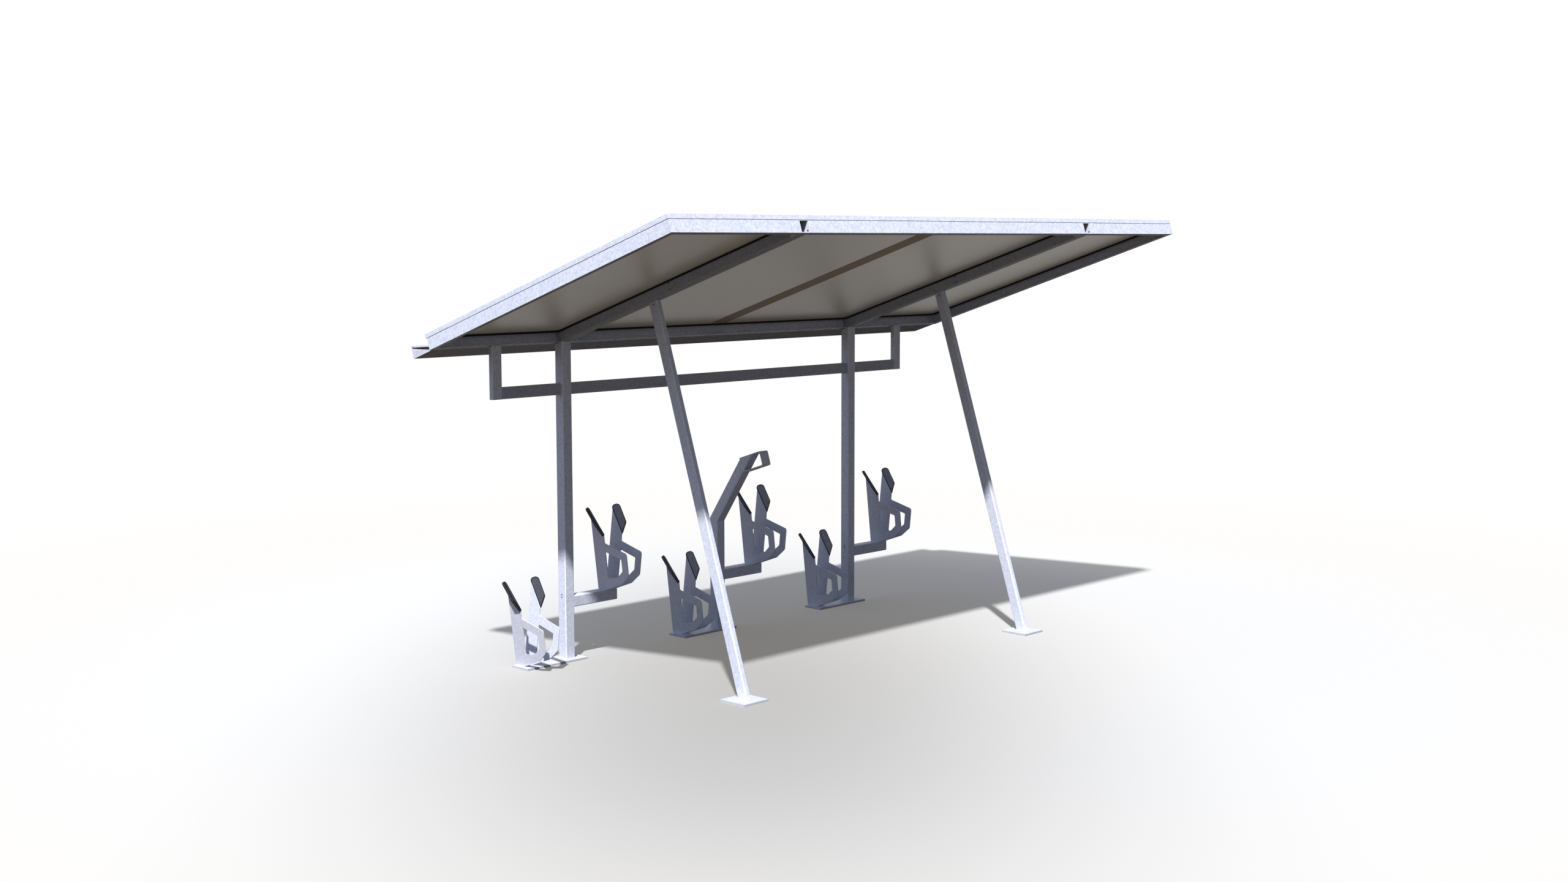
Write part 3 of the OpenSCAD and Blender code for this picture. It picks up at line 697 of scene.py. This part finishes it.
def zinc_finish(name, bright, dull, flakes, clouds, contrast, draw_out, scuffs, gloss, layers=()):
    """Hot-dip galvanised steel: spangle for colour and gloss, light scuffs drawn along the piece, a faint
    relief, and the layers given, in their order, of weathering, painted shade and painted highlights."""
    made, tree, shader, place = new_material(name)
    spangle = put(tree, "Group", {"Position": place, "Flakes per metre": flakes, "Clouds per metre": clouds,
                                  "Contrast": contrast, "Bright zinc": opaque(bright),
                                  "Dull zinc": opaque(dull)}, node_tree=SPANGLE).outputs
    marks = mask_of(tree, SCUFFS, {"Position": place, "Draw out": draw_out, "Amount": scuffs})
    colour = blend_of(tree, marks, spangle["Colour"], lighter(bright, SCUFF_SHINE))
    for layer in layers:
        colour = layer(tree, place, colour, bright)
    dress(tree, shader, colour, spangle["Roughness"], spangle["Height"], 0.12, 0.0006, gloss)
    shader.inputs["Metallic"].default_value = 0.02
    return made


def rubber_finish(name, deep, pale, draw_out, rubbed, dust_and_sheen=None):
    """Black rubber: a fine grain, and greyer along the marks where it is rubbed. With dust_and_sheen it is
    also greyer the further it lies in from the shelter's left end, partly dust and partly a painted sheen
    that lifts the caps in shade, and black along the mesh's rim, which is painted shade on the caps' walls."""
    made, tree, shader, place = new_material(name)
    grain = noise_of(tree, place, 900.0, 3.0)
    colour = blend_of(tree, grain, opaque(deep), opaque(pale))
    if dust_and_sheen:
        # Greyer further in: partly dust, partly a painted sheen on the caps in shade
        inwards = step_of(tree, parts_of(tree, place)[0], DUST_AND_SHEEN_FROM_X, DUST_AND_SHEEN_TO_X)
        patchy = range_of(tree, noise_of(tree, place, 60.0, 3.0), 0.30, 0.55, 0.75, 1.0)
        colour = blend_of(tree, math_of(tree, "MULTIPLY", inwards, patchy), colour, opaque(dust_and_sheen))
    marks = mask_of(tree, SCUFFS, {"Position": place, "Draw out": draw_out, "Amount": rubbed})
    colour = blend_of(tree, marks, colour, lighter(dust_and_sheen or pale, 1.6))
    if dust_and_sheen:
        # Painted shade: the caps' walls are kept black
        rim = put(tree, "Attribute", attribute_name="rim").outputs["Fac"]
        colour = blend_of(tree, rim, colour, opaque(RIM_SHADE_BLACK))
    dress(tree, shader, colour, range_of(tree, grain, 0.3, 0.7, 0.74, 0.90), grain, 0.25, 0.0004, 0.08)
    return made


def board_finish(name, pale, deep, rough_low, rough_high, gloss, felt=None):
    """Faced roof board: a satin skin with slow clouds and a fine grain drawn down the slope, and on top,
    where felt gives its two greys, a rough mineral felt."""
    made, tree, shader, place = new_material(name)
    slow = noise_of(tree, place, 1.7, 4.0, 0.55)
    grain = noise_of(tree, stretched(tree, place, (150.0, 7.0, 7.0)), 1.0, 5.0)
    factor = math_of(tree, "ADD", math_of(tree, "MULTIPLY", slow, 0.6), math_of(tree, "MULTIPLY", grain, 0.4))
    colour = blend_of(tree, factor, opaque(deep), opaque(pale))
    rough = range_of(tree, grain, 0.3, 0.7, rough_low, rough_high)
    if felt:
        on_top = faces_up(tree)
        granules = noise_of(tree, place, 420.0, 4.0)
        weather = noise_of(tree, place, 5.0, 6.0, 0.6)
        speckle = step_of(tree, math_of(tree, "ADD", granules, weather), 0.80, 1.20)
        mineral = blend_of(tree, speckle, opaque(felt[0]), opaque(felt[1]))
        colour = blend_of(tree, on_top, colour, mineral)
        rough = math_of(tree, "MAXIMUM", rough, math_of(tree, "MULTIPLY", on_top, 0.95))
    dress(tree, shader, colour, rough, grain, 0.05, 0.0005, gloss)
    return made


POST_ZINC = zinc_finish("post_zinc", (0.655, 0.685, 0.79), (0.49, 0.52, 0.63), 105.0, 66.0, 1.9,
                        (190.0, 190.0, 7.0), 0.35, 0.10, [painted_corner_sheen(ACROSS)])
ARM_ZINC = zinc_finish("arm_zinc", (0.62, 0.65, 0.75), (0.46, 0.49, 0.60), 105.0, 66.0, 1.9,
                       (7.0, 190.0, 190.0), 0.35, 0.10, [painted_corner_sheen(ALONG_Y)])
# Rails: darker than the posts' zinc, painted shade for their place under the roof
RAIL_ZINC_SHADED = zinc_finish("rail_zinc_shaded", (0.43, 0.455, 0.53), (0.32, 0.343, 0.425), 105.0, 66.0, 1.9,
                        (7.0, 190.0, 190.0), 0.35, 0.06, [painted_corner_sheen(ALONG_Y)])
# Rafters: darker than the posts' zinc, painted shade for their place under the roof
RAFTER_ZINC_SHADED = zinc_finish("rafter_zinc_shaded", (0.40, 0.42, 0.475), (0.29, 0.305, 0.36), 105.0, 66.0, 1.9,
                          (190.0, 7.0, 120.0), 0.35, 0.02,
                          [painted_corner_sheen(ACROSS), painted_bore_shade, painted_sunlit_end, painted_underside_shade(0.60)])
RACK_ZINC = zinc_finish("rack_zinc", (0.63, 0.648, 0.735), (0.49, 0.508, 0.605), 115.0, 60.0, 1.8,
                        (120.0, 60.0, 14.0), 0.25, 0.06, [painted_edge_highlight(0.002)])
PLATE_ZINC = zinc_finish("plate_zinc", (0.55, 0.565, 0.63), (0.44, 0.455, 0.53), 90.0, 50.0, 1.7,
                         (60.0, 160.0, 60.0), 0.30, 0.14, [painted_edge_highlight(0.003)])
FASCIA_ZINC = zinc_finish("fascia_zinc", (0.665, 0.69, 0.785), (0.49, 0.52, 0.64), 80.0, 52.0, 2.0,
                          (7.0, 120.0, 190.0), 0.20, 0.04, [painted_underside_shade(0.95), dull_tops])
GUTTER_ZINC = zinc_finish("gutter_zinc", (0.60, 0.615, 0.69), (0.46, 0.475, 0.55), 80.0, 48.0, 1.8,
                          (7.0, 160.0, 160.0), 0.25, 0.0, [painted_underside_shade(0.50), dull_tops, painted_gutter_shade])
BEAD_ZINC = zinc_finish("bead_zinc", (0.60, 0.62, 0.70), (0.42, 0.44, 0.52), 180.0, 90.0, 1.6,
                        (90.0, 90.0, 90.0), 0.20, 0.10)
SCREW_STEEL = zinc_finish("screw_steel", (0.10, 0.10, 0.12), (0.05, 0.05, 0.06), 420.0, 160.0, 1.6,
                          (300.0, 300.0, 300.0), 0.40, 0.20)
JOINT_SHIM = zinc_finish("joint_shim", (0.56, 0.585, 0.68), (0.42, 0.445, 0.54), 240.0, 120.0, 1.6,
                         (190.0, 190.0, 30.0), 0.20, 0.06)
# Cap rubber: greyer inwards, partly dust and partly painted sheen, with painted shade on the walls
CAP_RUBBER = rubber_finish("cap_rubber", (0.038, 0.041, 0.050), (0.060, 0.064, 0.078),
                           (160.0, 40.0, 40.0), 0.2, (0.35, 0.355, 0.385))
# Seal strips: near black, a real seal that also stands in for the shadow line under the deck
SEAL_SHADOW_BLACK = rubber_finish("seal_shadow_black", (0.006, 0.006, 0.007), (0.014, 0.014, 0.016),
                          (20.0, 20.0, 160.0), 0.3)
DECK_BOARD = board_finish("deck_board", (0.655, 0.618, 0.551), (0.594, 0.560, 0.501), 0.40, 0.48, 0.5,
                          ((0.15, 0.155, 0.165), (0.27, 0.275, 0.285)))
JOINT_BATTEN = board_finish("joint_batten", (0.34, 0.268, 0.180), (0.285, 0.224, 0.150), 0.55, 0.70, 0.06)

# Each node takes the finish of the longest of these endings that its name has
FINISHES = {
    "post_foot": POST_ZINC, "rack_arm": ARM_ZINC, "rear_post": POST_ZINC, "lock_post": POST_ZINC,
    "lock_arm": POST_ZINC, "lock_loop": RACK_ZINC, "front_leg": POST_ZINC, "low_rack": RACK_ZINC,
    "high_rack": RACK_ZINC, "base_plate": PLATE_ZINC, "front_foot": PLATE_ZINC, "rail_upright": POST_ZINC,
    "rail": RAIL_ZINC_SHADED, "rafter": RAFTER_ZINC_SHADED, "edge": FASCIA_ZINC, "trim": FASCIA_ZINC,
    "gutter": GUTTER_ZINC, "rack_caps": CAP_RUBBER, "deck": DECK_BOARD, "deck_joint_strip": JOINT_BATTEN,
}
for node_name, node_object in NODES.items():
    ending = max((key for key in FINISHES if node_name.endswith(key)), key=len)
    node_object.material_slots[0].material = FINISHES[ending]

# Welds, caps, screws, joint lines and seals


def unit_welds(unit, seed):
    """Beads of one rack unit: round the post foot, along both racks' seats, and under the arm."""
    post = np.array([UNIT_X[unit], POST_Y, PLATE_TOP])
    shells = [ring_weld(post, ACROSS, ALONG_Y, HALF_POST, HALF_POST, POST_BEAD, seed)]
    run = (SEAT_LENGTH / 2.0 - SEAT_INSET) * ALONG_Y
    for x, rear, seat in rack_spots(unit):
        for sign in BOTH_WAYS:
            beside = np.array([x + sign * SEAT_HALF, rear - SEAT_LENGTH / 2.0, seat])
            shells.append(stitch_weld(beside, run, ACROSS, UPWARDS, SEAT_BEAD, seed + sign))
    under_arm = np.array([UNIT_X[unit] + HALF_POST, POST_Y, ARM_LOW])
    shells.append(stitch_weld(under_arm, ARM_RUN * ALONG_Y, ACROSS, UPWARDS, ARM_BEAD, seed + 3.0))
    return shells


def unit_caps(unit):
    """Rubber caps of one unit's two racks, which stand for its plain ones."""
    caps = [guide_cap(guide_place(spot, side)) for spot in rack_spots(unit) for side in BOTH_WAYS]
    shells, rims = zip(*caps)
    made = piece(unit + "_rubber_caps", shells, CAP_RUBBER, np.concatenate(rims))
    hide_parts(unit + "_rack_caps")


def leg_weld(unit, seed):
    """Bead round the bottom of one front leg."""
    at_foot = np.array([UNIT_X[unit], node_middle(unit + "_front_foot")[1], FOOT_TOP])
    leg_half = node_half(unit + "_front_leg")[0]
    return ring_weld(at_foot, ACROSS, ALONG_Y, leg_half, HALF_POST_ON_SLOPE, LEG_BEAD, seed)


def rail_welds(unit, seed):
    """Beads at one end of the rear rail: on both sides of the post, over the rail's corner, in both seams
    against its upright, and under the rafter."""
    x, name = UNIT_X[unit], unit + "_rail"
    middle_z = node_middle(name)[2]
    _, half_y, half_z = node_half(name)
    outwards = -1.0 if unit == "left" else 1.0
    end_x = node_middle(name)[0] + outwards * node_half(name)[0]
    shells = []
    for sign in BOTH_WAYS:
        at_post = np.array([x + sign * HALF_POST, POST_Y, middle_z])
        shells.append(ring_weld(at_post, ALONG_Y, UPWARDS, half_y, half_z, RAIL_BEAD, seed + sign))
    corner = np.array([end_x, POST_Y, middle_z + half_z])
    shells.append(stitch_weld(corner, CORNER_RUN * ALONG_Y, ACROSS, UPWARDS, CORNER_BEAD, seed))
    run = (half_z - SEAM_INSET) * UPWARDS
    for sign in BOTH_WAYS:
        seam = np.array([end_x + outwards * SEAM_SINK, POST_Y + sign * (half_y - SEAM_SINK), middle_z])
        shells.append(stitch_weld(seam, run, ACROSS, ALONG_Y, SEAM_BEAD, 7.0 + seed + sign))
    under_rafter = on_roof(x, -HALF_POST_ON_SLOPE, 0.0)
    shells.append(stitch_weld(under_rafter, RAFTER_RUN * ACROSS, SLOPE, ROOF_UP, RAFTER_BEAD, 5.0 + seed))
    return shells


def splice_screws(unit, number):
    """The two screws on the left face of one post joint."""
    return [grub_screw(np.array([UNIT_X[unit] - HALF_POST, POST_Y, JOINT_Z + sign * SPLICE_OFFSET]),
                       -ACROSS, 0.4 * number + sign) for sign in BOTH_WAYS]


def rafter_screws(unit, number):
    """Screws of one rafter: the pair in its left wall, the one in the leg's top, and the plug in its end."""
    x = UNIT_X[unit]
    pair_at = -LEG_SET_OUT - PAIR_SET_OUT
    pair = [grub_screw(on_roof(x - HALF_POST, pair_at, FRAME_DEPTH / 2.0 + sign * PAIR_RISE), -ACROSS,
                       0.9 * number + sign) for sign in BOTH_WAYS]
    leg_top = on_roof(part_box(unit + "_front_leg")[0].x, -LEG_SET_OUT, -LEG_HOLE_DROP)
    end_hole = on_roof(x + HALF_POST - TUBE_WALL, SLOPE_FRONT + END_HOLE_INSET, END_HOLE_RISE)
    plug = grub_screw(end_hole, -ACROSS, 0.6 + number, PLUG_RECESS, PLUG_LENGTH)
    return pair + [grub_screw(leg_top, -ACROSS, 0.3 + number), plug]


def joint_shim(unit):
    """Thin line round one post's joint."""
    joint = np.array([UNIT_X[unit], POST_Y, JOINT_Z])
    half = HALF_POST - SHIM_SINK
    return band_ring(joint, ACROSS, ALONG_Y, half, half, TUBE_CORNER, SHIM_SIZE, SHIM_SIZE, SHIM_STEP)


def bay_seal(x_low, x_high):
    """Seal under the deck round one bay between rafters and edge channels, its top against the deck."""
    middle = on_roof((x_low + x_high) / 2.0, (SLOPE_FRONT + SLOPE_REAR) / 2.0, FRAME_DEPTH - SEAL_TALL)
    half_x = (x_high - x_low) / 2.0 - SEAL_THICK
    half_s = (SLOPE_REAR - SLOPE_FRONT) / 2.0 - EDGE_FLANGE - SEAL_THICK
    return band_ring(middle, ACROSS, SLOPE, half_x, half_s, SEAL_CORNER, SEAL_THICK, SEAL_TALL, SEAL_STEP)


for number, unit in enumerate(SIDES):
    piece(unit + "_unit_welds", unit_welds(unit, 1.7 * number), BEAD_ZINC)
for unit in SIDES:
    unit_caps(unit)

legs = [leg_weld(unit, 2.3 + number) for number, unit in enumerate(ENDS)]
piece("front_leg_welds", legs, BEAD_ZINC)
rails = [shell for number, unit in enumerate(ENDS) for shell in rail_welds(unit, number)]
piece("rear_rail_welds", rails, BEAD_ZINC)
screws = [shell for number, unit in enumerate(SIDES) for shell in splice_screws(unit, number)]
screws += [shell for number, unit in enumerate(ENDS) for shell in rafter_screws(unit, number)]
piece("set_screws", screws, SCREW_STEEL)
piece("post_joint_shims", [joint_shim(unit) for unit in SIDES], JOINT_SHIM)

outer_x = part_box("right_edge")[0].x
inner_x = UNIT_X["right"] - HALF_POST
seals = [bay_seal(-outer_x, UNIT_X["left"] - HALF_POST), bay_seal(-inner_x, inner_x),
         bay_seal(UNIT_X["right"] + HALF_POST, outer_x)]
# The seals' near black also paints the shadow line under the deck
piece("deck_seals", seals, SEAL_SHADOW_BLACK)

# Camera, light and floor

VIEW_YAW, VIEW_PITCH, VIEW_ROLL = (math.radians(a) for a in (46.24724, -6.06677, 0.07865))
VIEW_FROM = (-9.68881, -8.94596, 2.88974)
VIEW_LENS, VIEW_SENSOR, VIEW_REACH = 43.1833, 36.0, 200.0
SUN_TRAVEL = Vector((0.488, 0.355, -0.797))
SUN_STRENGTH = 6.4
SUN_SPREAD = math.radians(2.0)
HORIZON_FILL, OVERHEAD_FILL = (0.32, 0.332, 0.365), (0.235, 0.315, 0.47)
FILL_LEFT, FILL_RIGHT = 1.55, 0.55
FILL_FRONT, FILL_REAR = 0.54, 1.46
FLOOR_RINGS, FLOOR_SIDES, FLOOR_RADIUS = 24, 96, 60.0
FLOOR_MIDDLE, FLOOR_OVAL = (-1.6, -0.9, 0.0), (3.4, 8.0, 1.0)
FLOOR_NEAR, FLOOR_AROUND = (0.282, 0.280, 0.278), (0.525, 0.522, 0.518)
FLOOR_BOUNCE = (0.063, 0.050, 0.037)
GLOW_NEAR, GLOW_FROM, GLOW_TO = 0.165, 3.0, 10.0
GLOW_WARM, WHITE = (1.0, 0.91, 0.76), (1.0, 1.0, 1.0)


def make_camera():
    """Camera at its yaw, pitch and roll: forward from the first two, then level turned by the roll."""
    forward = Vector((math.sin(VIEW_YAW) * math.cos(VIEW_PITCH), math.cos(VIEW_YAW) * math.cos(VIEW_PITCH),
                      math.sin(VIEW_PITCH)))
    level = Vector((math.cos(VIEW_YAW), -math.sin(VIEW_YAW), 0.0))
    down = forward.cross(level)
    right = math.cos(VIEW_ROLL) * level + math.sin(VIEW_ROLL) * down
    up = math.sin(VIEW_ROLL) * level - math.cos(VIEW_ROLL) * down
    camera = bpy.data.objects.new("yard_view", bpy.data.cameras.new("yard_view"))
    camera.data.sensor_width = VIEW_SENSOR
    camera.data.lens = VIEW_LENS
    camera.data.clip_end = VIEW_REACH
    turned = Matrix((right, up, -forward)).transposed().to_4x4()
    camera.matrix_world = Matrix.Translation(VIEW_FROM) @ turned
    bpy.context.scene.collection.objects.link(camera)
    bpy.context.scene.camera = camera


def make_sun():
    """Key light: one distant lamp from the left front."""
    sun = bpy.data.objects.new("key_light", bpy.data.lights.new("key_light", "SUN"))
    sun.data.energy = SUN_STRENGTH
    sun.data.angle = SUN_SPREAD
    sun.rotation_euler = SUN_TRAVEL.to_track_quat("-Z", "Y").to_euler()
    bpy.context.scene.collection.objects.link(sun)


def backdrop_rays(tree):
    """1 for the rays that see the backdrop itself: from the camera, and in gloss or glass."""
    rays = put(tree, "LightPath").outputs
    seen = math_of(tree, "MAXIMUM", rays["Is Camera Ray"], rays["Is Glossy Ray"])
    return math_of(tree, "MAXIMUM", seen, rays["Is Transmission Ray"])


def make_world():
    """Soft fill: pale blue from overhead, greyer towards the horizon, stronger from the left than from the
    right and from behind than from the front, and plain white where the backdrop is seen."""
    world = bpy.data.worlds.new("studio")
    tree = empty_tree(world)
    x, y, z = parts_of(tree, put(tree, "TexCoord").outputs["Generated"])
    fill = blend_of(tree, step_of(tree, z, -0.05, 0.9), opaque(HORIZON_FILL), opaque(OVERHEAD_FILL))
    weight = math_of(tree, "MULTIPLY", range_of(tree, x, -1.0, 1.0, FILL_LEFT, FILL_RIGHT),
                     range_of(tree, y, -1.0, 1.0, FILL_FRONT, FILL_REAR))
    seen = blend_of(tree, backdrop_rays(tree), scaled(tree, fill, weight), opaque(WHITE))
    shade = put(tree, "Background", {"Color": seen, "Strength": 1.0})
    tree.links.new(shade.outputs[0], put(tree, "OutputWorld").inputs["Surface"])
    bpy.context.scene.world = world


def floor_finish():
    """Pale floor: greyer near the shelter, turning to white away from it."""
    made = bpy.data.materials.new("yard_floor")
    tree = empty_tree(made)
    place = put(tree, "TexCoord").outputs["Object"]
    oval = put(tree, "Mapping", {"Vector": place, "Location": FLOOR_MIDDLE, "Scale": FLOOR_OVAL,
                                 "Rotation": (0.0, 0.0, -VIEW_YAW)}, vector_type="TEXTURE").outputs[0]
    pale = range_of(tree, length_of(tree, oval), 0.0, 1.0, 0.0, 1.0, "SMOOTHSTEP")
    fade = range_of(tree, length_of(tree, place), GLOW_FROM, GLOW_TO, GLOW_NEAR, 1.0, "SMOOTHSTEP")
    rays = backdrop_rays(tree)
    seen = blend_of(tree, pale, opaque(FLOOR_NEAR), opaque(FLOOR_AROUND))
    tint = blend_of(tree, rays, opaque(FLOOR_BOUNCE), seen)
    surface = put(tree, "BsdfDiffuse", {"Color": tint}).outputs[0]
    warm_to_white = blend_of(tree, fade, opaque(GLOW_WARM), opaque(WHITE))
    glow = put(tree, "Emission", {"Color": warm_to_white, "Strength": 1.0}).outputs[0]
    shade = put(tree, "MixShader", {0: math_of(tree, "MULTIPLY", fade, rays), 1: surface, 2: glow})
    tree.links.new(shade.outputs[0], put(tree, "OutputMaterial").inputs["Surface"])
    return made


def make_floor():
    """Flat round floor: rings whose radii grow by an even ratio, about a pole."""
    radius = np.geomspace(1.0, FLOOR_RADIUS, FLOOR_RINGS)[:, None]
    angle = np.linspace(0.0, 2.0 * math.pi, FLOOR_SIDES, endpoint=False)
    grid = np.stack((radius * np.cos(angle), radius * np.sin(angle), 0.0 * radius * angle), axis=-1)
    points = np.vstack((grid.reshape(-1, 3), np.zeros((1, 3))))
    quads = grid_quads(FLOOR_RINGS, FLOOR_SIDES, False)
    fans = pole_fan(len(points) - 1, np.arange(FLOOR_SIDES))
    mesh = bpy.data.meshes.new("yard_floor")
    mesh.from_pydata(points.tolist(), [], quads.tolist() + fans.tolist())
    mesh.materials.append(floor_finish())
    mesh.update()
    floor = bpy.data.objects.new("yard_floor", mesh)
    bpy.context.scene.collection.objects.link(floor)


make_camera()
make_sun()
make_world()
make_floor()
bpy.context.scene.view_settings.view_transform = "Standard"
